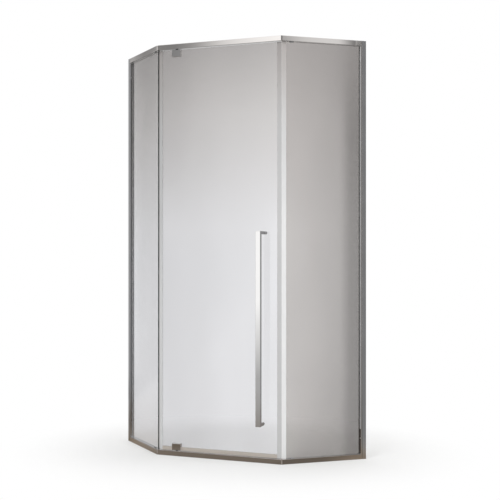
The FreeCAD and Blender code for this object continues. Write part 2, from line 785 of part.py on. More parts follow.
# Every feature is sound before any file is written
doc.recompute()
for thing in doc.Objects:
    if {"Invalid", "Error"} & set(thing.State):
        raise RuntimeError(f"{thing.Label} did not build: {thing.State}")
for sub_part in sub_parts:
    if sub_part.Shape.isNull() or not sub_part.Shape.isValid():
        raise RuntimeError(f"{sub_part.Label} has no sound shape")
os.makedirs("parts", exist_ok=True)
for sub_part in sub_parts:
    sub_part.Shape.exportStep(f"parts/{sub_part.Label}.step")
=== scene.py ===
import json
import math

import bmesh
import bpy
from mathutils import Matrix, Vector


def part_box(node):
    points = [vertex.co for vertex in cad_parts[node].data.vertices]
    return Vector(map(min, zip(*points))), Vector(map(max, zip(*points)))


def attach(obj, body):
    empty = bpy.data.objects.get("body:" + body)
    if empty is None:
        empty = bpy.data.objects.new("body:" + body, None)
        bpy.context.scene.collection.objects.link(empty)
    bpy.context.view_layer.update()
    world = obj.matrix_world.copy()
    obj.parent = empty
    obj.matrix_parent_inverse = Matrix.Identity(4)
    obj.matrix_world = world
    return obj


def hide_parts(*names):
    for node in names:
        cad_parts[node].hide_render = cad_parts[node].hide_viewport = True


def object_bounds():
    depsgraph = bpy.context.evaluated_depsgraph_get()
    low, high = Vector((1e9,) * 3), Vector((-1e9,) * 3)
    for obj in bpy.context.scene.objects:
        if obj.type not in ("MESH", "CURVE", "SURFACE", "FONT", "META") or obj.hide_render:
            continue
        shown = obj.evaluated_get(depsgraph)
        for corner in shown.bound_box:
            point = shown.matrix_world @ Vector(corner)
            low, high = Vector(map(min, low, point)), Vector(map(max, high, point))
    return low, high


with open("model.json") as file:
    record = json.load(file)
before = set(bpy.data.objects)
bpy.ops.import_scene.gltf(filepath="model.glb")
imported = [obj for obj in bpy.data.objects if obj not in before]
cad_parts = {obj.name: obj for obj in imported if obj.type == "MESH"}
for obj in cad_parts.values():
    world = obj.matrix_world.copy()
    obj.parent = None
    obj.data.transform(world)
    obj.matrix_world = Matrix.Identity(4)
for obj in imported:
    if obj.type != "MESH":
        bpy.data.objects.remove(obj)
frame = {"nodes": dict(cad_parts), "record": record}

CAD_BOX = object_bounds()
NODES = frame["nodes"]
COLOURS = {row["slot"]: row["base_color"][:3] for row in frame["record"]["materials"]}
SLOT_OF = {row["node"]: row["material_slot"] for row in frame["record"]["subparts"]}
CABIN_HEIGHT = CAD_BOX[1].z
HALF_WIDTH = CAD_BOX[1].x

# Directions in plan: the left side runs along Y, the right side along X, the door at half a right angle
LEFT_TURN = math.radians(90)
RIGHT_TURN = 0.0
DOOR_TURN = math.radians(45)
DOOR_INWARD = Vector((math.cos(DOOR_TURN), math.sin(DOOR_TURN), 0))


def along_door(x, y):
    """Place of a point along the door, from the middle of the cabin."""
    return (x - y) * math.cos(DOOR_TURN)


DOOR_LOW, DOOR_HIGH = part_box("door_glass")
DOOR_ENDS = along_door(DOOR_LOW[0], DOOR_HIGH[1]), along_door(DOOR_HIGH[0], DOOR_LOW[1])
DOOR_MIDDLE = (Vector(DOOR_LOW) + Vector(DOOR_HIGH)).dot(DOOR_INWARD) / 2

# Places of a Mix node's sockets for colours, because several of its sockets share a name
MIX_SHARE = 0
MIX_FIRST = 6
MIX_SECOND = 7
MIX_RESULT = 2


class Nodes:
    """The nodes of a material or of the world, which start empty."""

    def __init__(self, holder):
        holder.use_nodes = True
        self.tree = holder.node_tree
        self.tree.nodes.clear()

    def node(self, kind, settings=(), sockets=()):
        """A new node, with its settings and with what its sockets hold."""
        made = self.tree.nodes.new(kind)
        for name, value in dict(settings).items():
            setattr(made, name, value)
        for name, value in dict(sockets).items():
            self.feed(value, made.inputs[name])
        return made

    def feed(self, value, socket):
        """Link an output to a socket, or set a plain value on it."""
        if isinstance(value, bpy.types.NodeSocket):
            self.tree.links.new(value, socket)
        else:
            socket.default_value = value

    def place(self, turn=0.0, stretch=(1, 1, 1)):
        """Object coordinates in metres, turned about the upright axis and then stretched."""
        coordinates = self.node("ShaderNodeTexCoord").outputs["Object"]
        turned = self.node("ShaderNodeVectorRotate", {"rotation_type": "Z_AXIS"},
                           {"Vector": coordinates, "Angle": turn}).outputs["Vector"]
        return self.node("ShaderNodeVectorMath", {"operation": "MULTIPLY"},
                         {0: turned, 1: stretch}).outputs["Vector"]

    def distance(self):
        """Distance from the middle of the floor under the cabin."""
        return self.node("ShaderNodeVectorMath", {"operation": "LENGTH"},
                         {0: self.place()}).outputs["Value"]

    def normal(self):
        """Direction that the surface faces."""
        return self.node("ShaderNodeTexCoord").outputs["Normal"]

    def part(self, vector, axis):
        """One of the three parts of a vector, named X, Y or Z."""
        return self.node("ShaderNodeSeparateXYZ", {}, {"Vector": vector}).outputs[axis]

    def math(self, operation, first, second):
        """The result of a Math node."""
        return self.node("ShaderNodeMath", {"operation": operation}, {0: first, 1: second}).outputs[0]

    def times(self, first, *others):
        """The product of all the values."""
        product = first
        for other in others:
            product = self.math("MULTIPLY", product, other)
        return product

    def noise(self, vector, scale, detail=2.0):
        """Soft noise, from 0 to 1."""
        return self.node("ShaderNodeTexNoise", {},
                         {"Vector": vector, "Scale": scale, "Detail": detail}).outputs["Fac"]

    def ramp(self, value, low, high, start=0.0, end=1.0, smooth=True):
        """Carry a value from start..end over to low..high."""
        kind = "SMOOTHSTEP" if smooth else "LINEAR"
        return self.node("ShaderNodeMapRange", {"interpolation_type": kind},
                         {"Value": value, "From Min": start, "From Max": end,
                          "To Min": low, "To Max": high}).outputs["Result"]

    def rise(self, value, start, end, smooth=True):
        """A share that goes from 0 where the value is start to 1 where it is end."""
        return self.ramp(value, 0.0, 1.0, start, end, smooth)

    def stops(self, value, colours):
        """The colour at value, between stops of (place from 0 to 1, colour)."""
        strip = self.node("ShaderNodeValToRGB", {}, {"Fac": value})
        elements = strip.color_ramp.elements
        elements.remove(elements[1])
        elements[0].position, elements[0].color = colours[0]
        for place, colour in colours[1:]:
            elements.new(place).color = colour
        return strip.outputs["Color"]

    def blend(self, share, first, second, kind="MIX"):
        """A colour between first and second."""
        mixed = self.node("ShaderNodeMix", {"data_type": "RGBA", "blend_type": kind})
        for socket, value in ((MIX_SHARE, share), (MIX_FIRST, first), (MIX_SECOND, second)):
            self.feed(value, mixed.inputs[socket])
        return mixed.outputs[MIX_RESULT]

    def either(self, share, first, second):
        """A shading between two shadings."""
        return self.node("ShaderNodeMixShader", {}, {0: share, 1: first, 2: second}).outputs[0]


class Recipe(Nodes):
    """A material under construction: one Principled shader and the nodes that feed it."""

    def __init__(self, name):
        self.material = bpy.data.materials.new(name)
        super().__init__(self.material)
        self.output = self.node("ShaderNodeOutputMaterial")
        self.shader = self.node("ShaderNodeBsdfPrincipled")
        self.show(self.shader.outputs["BSDF"])

    def show(self, shading):
        """Make this shading the surface of the material."""
        self.feed(shading, self.output.inputs["Surface"])

    def set(self, **sockets):
        """Set sockets of the shader, whose names are written with underscores for spaces."""
        for name, value in sockets.items():
            self.feed(value, self.shader.inputs[name.replace("_", " ")])

    def bump(self, height, distance, strength):
        """Raise the surface by a height of distance metres."""
        self.set(Normal=self.node("ShaderNodeBump", {}, {
            "Height": height, "Distance": distance, "Strength": strength}).outputs["Normal"])


def shade(colour, share):
    """A colour for a socket, lightened or darkened by share."""
    return (*[min(1.0, part * share) for part in colour], 1.0)


def grey(tone):
    """A grey for a socket."""
    return (tone, tone, tone, 1.0)


def share_of_height(recipe):
    """Height as a share of the cabin's height."""
    return recipe.rise(recipe.part(recipe.place(), "Z"), 0.0, CABIN_HEIGHT, smooth=False)


def tint_and_shade_by_height(recipe, tall, tones, hues, hue_start):
    """Grey of tint and painted shade between tones at shares of the height, its hue turning to the second
    above hue_start.
    """
    tint = recipe.stops(tall, [(place, grey(tone)) for place, tone in tones])
    hue = recipe.blend(recipe.rise(tall, hue_start, 1.0), *hues)
    return recipe.blend(1.0, tint, hue, "MULTIPLY")


# Drawn metal: its lines, its clouds, and the shares of the colour that the clouds reach
DRAWN_DETAIL = 3.0
DRAWN_CLOUD_SCALE = 7.0
DRAWN_SHADES = 0.96, 1.03
DRAWN_ROUGH_SPAN = 0.1, 0.4
DRAWN_DEPTH = 0.00001
DRAWN_BUMP = 0.04
# A face counts as square to an axis when this much of its direction lies along it
SQUARE_ON = 0.9
# Satin lip of the right jamb, a pale grey that is a painted highlight: grey, roughness, clearance from
# the pane, and height where it starts
SATIN_HIGHLIGHT_GREY = 0.54
SATIN_ROUGH = 0.45
SATIN_CLEARANCE = 0.001
SATIN_FOOT = 0.144


def drawn_metal(name, colour, stretch, turn=0.0, rough=(0.03, 0.09), underside=1.0, highlight_share=None):
    """Bright metal with faint lines along its length and clouds of slightly duller finish.

    Its undersides carry painted shade set by underside, and highlight_share says where a pale satin
    finish paints a highlight.
    """
    recipe = Recipe(name)
    lines = recipe.noise(recipe.place(turn, stretch), 1.0, DRAWN_DETAIL)
    clouds = recipe.noise(recipe.place(), DRAWN_CLOUD_SCALE, DRAWN_DETAIL)
    tone = recipe.blend(clouds, *[shade(colour, share) for share in DRAWN_SHADES])
    # Faces that look down get painted shade, set by underside
    below = recipe.math("LESS_THAN", recipe.part(recipe.normal(), "Z"), -SQUARE_ON)
    tone = recipe.blend(below, tone, shade(colour, underside))
    dull = recipe.ramp(recipe.times(lines, clouds), *rough, *DRAWN_ROUGH_SPAN)
    metallic = 1.0
    if highlight_share:
        satin = highlight_share(recipe)
        # The pale satin grey is a painted highlight on the jamb's lip
        tone = recipe.blend(satin, tone, grey(SATIN_HIGHLIGHT_GREY))
        dull = recipe.ramp(satin, dull, SATIN_ROUGH, smooth=False)
        metallic = recipe.math("SUBTRACT", 1.0, satin)
    recipe.set(Base_Color=tone, Metallic=metallic, Roughness=dull)
    recipe.bump(lines, DRAWN_DEPTH, DRAWN_BUMP)
    return recipe.material


def highlight_lip_of_right_jamb(recipe):
    """Where the right jamb's lip in front of its pane faces the opening, and a pale satin grey paints a
    highlight.
    """
    lip_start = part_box("fixed_glass_right")[0][1] - SATIN_CLEARANCE
    in_front = recipe.math("LESS_THAN", recipe.part(recipe.place(), "Y"), lip_start)
    facing_pane = recipe.math("LESS_THAN", recipe.part(recipe.normal(), "X"), -SQUARE_ON)
    above_foot = recipe.math("GREATER_THAN", recipe.part(recipe.place(), "Z"), SATIN_FOOT)
    return recipe.times(in_front, facing_pane, above_foot)


# Grey that each pane shows against a white room, from its foot to its head: the glass's own tint with
# painted shade that deepens towards the head
PANE_TINTS_AND_SHADE = {
    "fixed_glass_left": ((0.0, 0.84), (0.14, 0.84), (0.29, 0.885), (0.55, 0.81), (0.80, 0.56),
                         (0.90, 0.455), (1.0, 0.345)),
    "door_glass": ((0.0, 0.81), (0.55, 0.75), (0.82, 0.59), (1.0, 0.40)),
    "fixed_glass_right": ((0.0, 0.54), (0.55, 0.56), (0.82, 0.49), (1.0, 0.40)),
}
# Hues of each pane below HUE_START, as a share of the height, and at its head
COOL = (0.99, 0.99, 1.015, 1)
PALE_WARM = (1.025, 0.985, 0.965, 1)
WARM = (1.04, 0.98, 0.95, 1)
PANE_HUES = {
    "fixed_glass_left": (COOL, PALE_WARM),
    "door_glass": (COOL, PALE_WARM),
    "fixed_glass_right": (PALE_WARM, WARM),
}
HUE_START = 0.45
# Which way each pane faces, and how little of a face's direction lies that way where it is a cut edge
PANE_FACING = {
    "fixed_glass_left": (1, 0, 0),
    "door_glass": tuple(DOOR_INWARD),
    "fixed_glass_right": (0, 1, 0),
}
EDGE_ON = 0.5
GREEN_EDGE = (0.50, 0.66, 0.58, 1)
DARK_EDGE = (0.06, 0.07, 0.07, 1)
EDGE_TINTS = {
    "fixed_glass_left": DARK_EDGE,
    "door_glass": GREEN_EDGE,
    "fixed_glass_right": GREEN_EDGE,
}
GLASS_IOR = 1.5
SHADOW_TINT = (0.86, 0.87, 0.86, 1)
# Tall faint clouds in every pane, and painted shade that lightens from the hinge edge of the door to its
# free edge
PANE_CLOUD_STRETCH = (1, 1, 0.35)
PANE_CLOUD_SCALE = 2.2
PANE_CLOUD_TONES = 0.95, 1.03
PANE_CLOUD_SPAN = 0.3, 0.7
DOOR_PAINTED_SHADE_SLOPE = 0.95, 1.05
# Dark band along the free end of the left pane: its tone, and where it starts to fade and ends
END_BAND_TONE = 0.1
END_BAND = 0.004, 0.009
# Soft shades: how deep, from where to where along the pane, and between which shares of the height
DOOR_SHADE = 0.15, (0.05, DOOR_ENDS[0]), (0.55, 0.80)
WALLWARD_SHADE = 0.38, (0.02, HALF_WIDTH), (1.3, 0.84)
JAMB_SHADE = 0.23, (0.31, 0.38), (0.97, 0.75)


def soft_shade(recipe, along, tall, shade_of, smooth=True):
    """Light left by a shade that deepens along the pane and up or down it."""
    depth, ends, heights = shade_of
    reach = recipe.times(recipe.rise(along, *ends, smooth=smooth), recipe.rise(tall, *heights))
    return recipe.math("SUBTRACT", 1.0, recipe.times(reach, depth))


def pane_light(recipe, node, tall):
    """Light left by the clouds and shades of a pane, as a grey colour."""
    clouds = recipe.noise(recipe.place(stretch=PANE_CLOUD_STRETCH), PANE_CLOUD_SCALE)
    shares = [recipe.ramp(clouds, *PANE_CLOUD_TONES, *PANE_CLOUD_SPAN)]
    if node == "fixed_glass_left":
        from_end = recipe.math("SUBTRACT", recipe.part(recipe.place(), "Y"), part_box(node)[0][1])
        shares.append(recipe.ramp(from_end, END_BAND_TONE, 1.0, *END_BAND))
    if node == "door_glass":
        along = recipe.part(recipe.place(DOOR_TURN), "X")
        shares.append(recipe.ramp(along, *DOOR_PAINTED_SHADE_SLOPE, *DOOR_ENDS, smooth=False))
        shares.append(soft_shade(recipe, along, tall, DOOR_SHADE))
    if node == "fixed_glass_right":
        along = recipe.part(recipe.place(), "X")
        shares.append(soft_shade(recipe, along, tall, WALLWARD_SHADE, smooth=False))
        shares.append(soft_shade(recipe, along, tall, JAMB_SHADE))
    light = recipe.times(*shares)
    return recipe.node("ShaderNodeCombineColor", {}, {
        "Red": light, "Green": light, "Blue": light}).outputs["Color"]


def clear_glass(node):
    """Clear pane with a grey tint and painted shade that deepen upwards, tinted cut edges and a pale
    shadow.
    """
    recipe = Recipe(node)
    tall = share_of_height(recipe)
    # The tint holds the pane's own grey and painted shade that deepens towards the head
    tint = tint_and_shade_by_height(recipe, tall, PANE_TINTS_AND_SHADE[node], PANE_HUES[node], HUE_START)
    tint = recipe.blend(1.0, tint, pane_light(recipe, node, tall), "MULTIPLY")
    across = recipe.node("ShaderNodeVectorMath", {"operation": "DOT_PRODUCT"},
                         {0: recipe.normal(), 1: PANE_FACING[node]}).outputs["Value"]
    edge = recipe.math("LESS_THAN", recipe.math("ABSOLUTE", across, 0.0), EDGE_ON)
    recipe.set(Base_Color=recipe.blend(edge, tint, EDGE_TINTS[node]),
               Roughness=0.0, IOR=GLASS_IOR, Transmission_Weight=1.0)
    passing = recipe.node("ShaderNodeBsdfTransparent", {}, {"Color": SHADOW_TINT}).outputs["BSDF"]
    shadow = recipe.node("ShaderNodeLightPath").outputs["Is Shadow Ray"]
    recipe.show(recipe.either(shadow, recipe.shader.outputs["BSDF"], passing))
    return recipe.material


# Grey of the milky door strips from their foot to their head, with painted shade that deepens towards the
# head of the upright strips
STRIP_TINTS_AND_SHADE = {
    "hinge_seal": ((0.0, 0.70), (0.38, 0.67), (0.62, 0.56), (0.82, 0.47), (0.94, 0.37), (1.0, 0.32)),
    "door_seal": ((0.0, 0.68), (0.55, 0.66), (0.82, 0.54), (1.0, 0.34)),
    "strike_seal": ((0.0, 0.95), (0.55, 0.92), (0.82, 0.70), (0.92, 0.54), (1.0, 0.46)),
    "drip_seal": ((0.0, 0.54), (1.0, 0.54)),
}
# Hues of the strips at foot and head
DRIP_HUE = (1.12, 1.02, 0.92, 1)
PLAIN_HUE = (1, 1, 1, 1)
STRIP_HUES = {"drip_seal": (DRIP_HUE, DRIP_HUE)}
STRIP_HUE_START = 0.75
STRIP_CLEARNESS = 0.2
STRIP_IOR = 1.4
# The leg of the hinge seal behind the pane is clearer
INNER_LEG_TONE = 1.0
INNER_LEG_CLEARNESS = 0.95
# Lines from the die, and faint clouds of a darker grey
STRIP_LYING = (4, 900, 900)
STRIP_STANDING = (900, 900, 4)
STRIP_ROUGH = 0.12, 0.28
STRIP_ROUGH_SPAN = 0.2, 0.8
STRIP_DEPTH = 0.00001
STRIP_BUMP = 0.05
STRIP_CLOUD_SCALE = 14.0
STRIP_CLOUD_SHARE = 0.06
SOFT_CLOUD_TONE = 0.3


def leg_behind_pane(recipe):
    """Where the hinge seal lies behind the door's pane."""
    place = recipe.place(DOOR_TURN)
    past_edge = recipe.math("GREATER_THAN", recipe.part(place, "X"), DOOR_ENDS[0])
    behind = recipe.math("GREATER_THAN", recipe.part(place, "Y"), DOOR_MIDDLE)
    return recipe.times(past_edge, behind)


def soft_strip(node):
    """Milky soft strip with faint lines from the die along its length."""
    recipe = Recipe(node)
    hues = STRIP_HUES.get(node, (PLAIN_HUE, WARM))
    # The tint holds the strip's own grey and painted shade that deepens towards the head
    tint = tint_and_shade_by_height(recipe, share_of_height(recipe), STRIP_TINTS_AND_SHADE[node], hues, STRIP_HUE_START)
    clearness = STRIP_CLEARNESS
    if node == "hinge_seal":
        leg = leg_behind_pane(recipe)
        tint = recipe.blend(leg, tint, grey(INNER_LEG_TONE))
        clearness = recipe.ramp(leg, STRIP_CLEARNESS, INNER_LEG_CLEARNESS, smooth=False)
    stretch = STRIP_LYING if node == "drip_seal" else STRIP_STANDING
    lines = recipe.noise(recipe.place(DOOR_TURN, stretch), 1.0)
    clouds = recipe.ramp(recipe.noise(recipe.place(), STRIP_CLOUD_SCALE), 0.0, STRIP_CLOUD_SHARE)
    recipe.set(Base_Color=recipe.blend(clouds, tint, grey(SOFT_CLOUD_TONE)),
               Roughness=recipe.ramp(lines, *STRIP_ROUGH, *STRIP_ROUGH_SPAN),
               IOR=STRIP_IOR, Transmission_Weight=clearness)
    recipe.bump(lines, STRIP_DEPTH, STRIP_BUMP)
    return recipe.material


# Moulded surfaces: their grain and clouds
GRAIN_DETAIL = 4.0
GRAIN_SPAN = 0.25, 0.75
GRAIN_DEPTH = 0.00008
GRAIN_BUMP = 0.35
ROUGH_SPREAD = 0.08
MOULDED_CLOUD_SCALE = 25.0
MOULDED_SHADES = 0.88, 1.1
RUBBER_GRAIN = 2600.0
RUBBER_ROUGH = 0.6
# Gaskets of the jambs: tones of their lips, and what differs from other moulded surfaces
DARK_LIP = 0.12
PALE_LIP = 0.88
GASKET_BUMP = 0.1
GASKET_CLOUD_SHARE = 0.1


def add_grain(recipe, grain, rough, strength):
    """Fine grain in the roughness and the height of a surface."""
    grains = recipe.noise(recipe.place(), grain, GRAIN_DETAIL)
    recipe.set(Roughness=recipe.ramp(grains, rough - ROUGH_SPREAD, rough + ROUGH_SPREAD, *GRAIN_SPAN))
    recipe.bump(grains, GRAIN_DEPTH, strength)


def moulded(name, colour, grain, rough, metallic=0.0):
    """Moulded surface with a fine grain."""
    recipe = Recipe(name)
    clouds = recipe.noise(recipe.place(), MOULDED_CLOUD_SCALE)
    tone = recipe.blend(clouds, *[shade(colour, share) for share in MOULDED_SHADES])
    recipe.set(Base_Color=tone, Metallic=metallic)
    add_grain(recipe, grain, rough, GRAIN_BUMP)
    return recipe.material


def lipped_gasket(name, axis, pane, outer_tone, inner_tone):
    """Soft gasket of a jamb, with a lip on either side of its pane."""
    recipe = Recipe(name)
    middle = sum(corner["XY".index(axis)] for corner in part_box(pane)) / 2
    inside = recipe.math("GREATER_THAN", recipe.part(recipe.place(), axis), middle)
    tone = recipe.blend(inside, grey(outer_tone), grey(inner_tone))
    clouds = recipe.ramp(recipe.noise(recipe.place(), MOULDED_CLOUD_SCALE), 0.0, GASKET_CLOUD_SHARE)
    recipe.set(Base_Color=recipe.blend(clouds, tone, grey(SOFT_CLOUD_TONE)))
    add_grain(recipe, RUBBER_GRAIN, RUBBER_ROUGH, GASKET_BUMP)
    return recipe.material


# Metal in the rails and fittings is tinted slightly warm
RAIL_WARMTH = 1.035, 0.995, 0.955
FITTING_WARMTH = 1.01, 1.0, 0.98


def warmed(slot, warmth):
    """The colour of a slot, tinted by warmth."""
    return [part * share for part, share in zip(COLOURS[slot], warmth)]


# Lines in the metal run along each profile, and the grain of castings and screws is the same all ways
ALONG = (5, 1300, 1300)
UPRIGHT = (1300, 1300, 5)
CAST_GRAIN = (300, 300, 300)
STEEL_GRAIN = (900, 900, 900)
# Painted shade on the undersides of the rails above and below the door
DOOR_UNDERSIDE_SHADE = 0.46
RAIL_METAL = warmed("profile_metal", RAIL_WARMTH)
CAST_METAL = warmed("cast_metal", RAIL_WARMTH)
CHROME = warmed("fitting_chrome", FITTING_WARMTH)
PALE_RUBBER = (0.86, 0.86, 0.85)
SATIN_GREY = (0.29, 0.25, 0.22)
PROFILE = {
    "left": drawn_metal("profile_left", RAIL_METAL, ALONG, LEFT_TURN),
    "right": drawn_metal("profile_right", RAIL_METAL, ALONG, RIGHT_TURN),
    "door": drawn_metal("profile_door", RAIL_METAL, ALONG, DOOR_TURN, underside=DOOR_UNDERSIDE_SHADE),
    "upright": drawn_metal("profile_upright", COLOURS["profile_metal"], UPRIGHT),
    "painted_highlight_lip": drawn_metal("profile_painted_highlight_lip", RAIL_METAL, UPRIGHT, highlight_share=highlight_lip_of_right_jamb),
}
FINISHES = {
    "cast_metal": drawn_metal("cast_metal", CAST_METAL, CAST_GRAIN, rough=(0.06, 0.14)),
    "fitting_chrome": drawn_metal("fitting_chrome", CHROME, UPRIGHT, rough=(0.02, 0.06)),
    "screw_steel": drawn_metal("screw_steel", COLOURS["screw_steel"], STEEL_GRAIN, rough=(0.2, 0.4)),
    "gasket_rubber": moulded("gasket_rubber", COLOURS["gasket_rubber"], RUBBER_GRAIN, RUBBER_ROUGH),
    "magnet_rubber": moulded("magnet_rubber", COLOURS["magnet_rubber"], grain=2200.0, rough=0.7),
    "clip_plastic": moulded("clip_plastic", COLOURS["clip_plastic"], grain=1800.0, rough=0.45),
    "bush_plastic": moulded("bush_plastic", COLOURS["bush_plastic"], grain=1800.0, rough=0.4),
    "cap_plastic": moulded("cap_plastic", COLOURS["cap_plastic"], grain=1500.0, rough=0.25, metallic=1.0),
}
# Finishes of single pieces that differ from their slot's
PALE_GASKET = moulded("pale_gasket", PALE_RUBBER, RUBBER_GRAIN, RUBBER_ROUGH)
SATIN_WEB = moulded("satin_web", SATIN_GREY, grain=1500.0, rough=0.5)


def profile_finish(node):
    """The extrusion finish whose lines run along this node."""
    if node in ("header_rail", "sill_rail"):
        return PROFILE["door"]
    if node == "jamb_right":
        return PROFILE["painted_highlight_lip"]
    if "rail" in node:
        return PROFILE["left" if node.endswith("left") else "right"]
    return PROFILE["upright"]


def finish_of(node):
    """The material of a CAD node."""
    slot = SLOT_OF[node]
    if slot == "clear_glass":
        return clear_glass(node)
    if node == "jamb_gasket_left":
        return lipped_gasket(node, "X", "fixed_glass_left", DARK_LIP, PALE_LIP)
    if node == "jamb_gasket_right":
        return lipped_gasket(node, "Y", "fixed_glass_right", DARK_LIP, DARK_LIP)
    if node.startswith("top_gasket") or node == "clamp_gaskets":
        return PALE_GASKET
    if node.startswith("corner_joint_bottom"):
        return SATIN_WEB
    if slot == "seal_plastic":
        return soft_strip(node)
    return profile_finish(node) if slot == "profile_metal" else FINISHES[slot]


# Edge roundings in metres
EDGE_ROUND = {
    "profile_metal": 0.0004, "cast_metal": 0.0005, "fitting_chrome": 0.0004, "clip_plastic": 0.0005,
    "cap_plastic": 0.0004, "gasket_rubber": 0.00015, "seal_plastic": 0.00015,
}
JOIN_DISTANCE = 0.000005
ROUND_SEGMENTS = 2
SHARP_ANGLE = math.radians(35)
FLAT_FACE_WEIGHT = 100
# What touches a pane is drawn in by a hair, so that the two faces don't lie in one plane
GLASS_TOUCHERS = ("gasket_rubber", "seal_plastic", "clip_plastic")
HAIR = 0.00005


def soften_edges(thing, radius, draw_in):
    """Round the sharp edges so that they catch the light, on faces drawn in by a hair where asked."""
    thing.modifiers.new("join_faces", "WELD").merge_threshold = JOIN_DISTANCE
    if draw_in:
        inset = thing.modifiers.new("draw_in", "DISPLACE")
        inset.mid_level = 0.0
        inset.strength = -draw_in
    bevel = thing.modifiers.new("round_edges", "BEVEL")
    bevel.width = radius
    bevel.segments = ROUND_SEGMENTS
    bevel.limit_method = "ANGLE"
    bevel.angle_limit = SHARP_ANGLE
    bevel.use_clamp_overlap = True
    thing.modifiers.new("even_faces", "WEIGHTED_NORMAL").weight = FLAT_FACE_WEIGHT


def dress(node, thing):
    """Give a CAD node its material and soft edges."""
    thing.data.materials.clear()
    thing.data.materials.append(finish_of(node))
    slot = SLOT_OF[node]
    if slot in EDGE_ROUND:
        soften_edges(thing, EDGE_ROUND[slot], HAIR if slot in GLASS_TOUCHERS else 0.0)


for node_name, node_thing in NODES.items():
    dress(node_name, node_thing)


def put_in_scene(name, data):
    """A new object in the scene that holds a mesh, a light or a camera."""
    thing = bpy.data.objects.new(name, data)
    bpy.context.scene.collection.objects.link(thing)
    return thing


def circle(radius, count):
    """Points round a circle in plan."""
    turns = [2 * math.pi * n / count for n in range(count)]
    return [(radius * math.cos(turn), radius * math.sin(turn)) for turn in turns]


# Screws with driven heads in place of the plain solids
SCREW_SIDES = 32
SAME_POINT = 0.000001
# Width of a recess's floor, as a share of its mouth's
RECESS_TAPER = 0.8
# Pan head: height in metres, its outline as shares of its radius and height, and its shank and tip
PAN_HEAD_HEIGHT = 0.002
PAN_DOME = ((0.62, 1.0), (0.84, 0.90), (0.96, 0.68), (1.0, 0.35), (1.0, 0.0))
SHANK_SHARE = 0.55
TIP_TAPER = 3
# Cross recess: shares of the head's radius, and of its height for the depth
CROSS_REACH = 0.5
CROSS_HALF_WIDTH = 0.13
CROSS_DEPTH = 0.6
# Hexagon socket and the rounded rim round it, as shares of the screw's radius
SOCKET_REACH = 0.58
SOCKET_DEPTH = 0.8
SOCKET_RIM = 0.12
HEXAGON_SIDES = 6


def solids_of(node):
    """Lowest and highest corner of each separate solid of a CAD node."""
    shape = bmesh.new()
    shape.from_mesh(NODES[node].data)
    bmesh.ops.remove_doubles(shape, verts=shape.verts, dist=SAME_POINT)
    waiting = set(shape.verts)
    corners = []
    while waiting:
        found = [waiting.pop()]
        for vertex in found:
            near = {edge.other_vert(vertex) for edge in vertex.link_edges} & waiting
            waiting -= near
            found.extend(near)
        places = [vertex.co for vertex in found]
        corners.append([Vector([side(place[axis] for place in places) for axis in range(3)])
                        for side in (min, max)])
    shape.free()
    return sorted(corners, key=lambda pair: tuple(pair[0]))


def cross_outline(reach, half_width):
    """Outline of a cross recess."""
    quarter = [(reach, -half_width), (reach, half_width), (half_width, half_width)]
    quarter_turns = ((1, 0), (0, 1), (-1, 0), (0, -1))
    return [(x * c - y * s, x * s + y * c) for c, s in quarter_turns for x, y in quarter]


def add_loop(shape, points, height, place):
    """A loop of points at a height, carried to its place."""
    return [shape.verts.new(place @ Vector((x, y, height))) for x, y in points]


def add_walls(shape, upper, lower):
    """Faces between two loops, smooth where the loops are round."""
    count = len(upper)
    for n in range(count):
        after = (n + 1) % count
        wall = shape.faces.new((upper[n], lower[n], lower[after], upper[after]))
        wall.smooth = count == SCREW_SIDES


def loop_edges(shape, loop):
    """The edges round a loop, made where they are missing."""
    return [shape.edges.get(pair) or shape.edges.new(pair) for pair in zip(loop, loop[1:] + loop[:1])]


def add_screw(shape, profile, recess, recess_depth, place):
    """A screw with its head up, and a recess sunk in its top.

    The profile is rings of (radius, height), from the rim of the top to the tip.
    """
    rings = [add_loop(shape, circle(radius, SCREW_SIDES), height, place) for radius, height in profile]
    for upper, lower in zip(rings, rings[1:]):
        add_walls(shape, upper, lower)
    shape.faces.new(rings[-1][::-1])
    top = profile[0][1]
    mouth = add_loop(shape, recess, top, place)
    tapered = [(x * RECESS_TAPER, y * RECESS_TAPER) for x, y in recess]
    floor = add_loop(shape, tapered, top - recess_depth, place)
    add_walls(shape, floor, mouth)
    shape.faces.new(floor)
    edges = loop_edges(shape, rings[0]) + loop_edges(shape, mouth)
    bmesh.ops.triangle_fill(shape, use_beauty=True, edges=edges)


def screw_set(name, node, body, draw):
    """Screws for every solid of a CAD node, as one piece that stands for it."""
    shape = bmesh.new()
    for low, high in solids_of(node):
        draw(shape, low, high)
    bmesh.ops.recalc_face_normals(shape, faces=shape.faces)
    mesh = bpy.data.meshes.new(name)
    shape.to_mesh(mesh)
    shape.free()
    mesh.materials.append(FINISHES["screw_steel"])
    thing = put_in_scene(name, mesh)
    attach(thing, body)
    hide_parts(node)


def facing(direction, point):
    """Placement that turns a piece's upright axis to direction and carries it to point."""
    return Matrix.Translation(point) @ direction.to_track_quat("Z", "Y").to_matrix().to_4x4()


def pan_head_screw(shape, low, high):
    """Cross-recess screw whose domed head faces away from the wall."""
    size = high - low
    along_x = size.x > size.y
    direction = Vector((-1, 0, 0)) if along_x else Vector((0, -1, 0))
    length = max(size.x, size.y)
    radius = size.z / 2
    crown = (low + high) / 2 + direction * length / 2
    head = [(radius * across, PAN_HEAD_HEIGHT * (up - 1)) for across, up in PAN_DOME]
    shank = radius * SHANK_SHARE
    tip = [(shank, -PAN_HEAD_HEIGHT), (shank, shank - length), (shank / TIP_TAPER, -length)]
    recess = cross_outline(CROSS_REACH * radius, CROSS_HALF_WIDTH * radius)
    add_screw(shape, head + tip, recess, CROSS_DEPTH * PAN_HEAD_HEIGHT, facing(direction, crown))


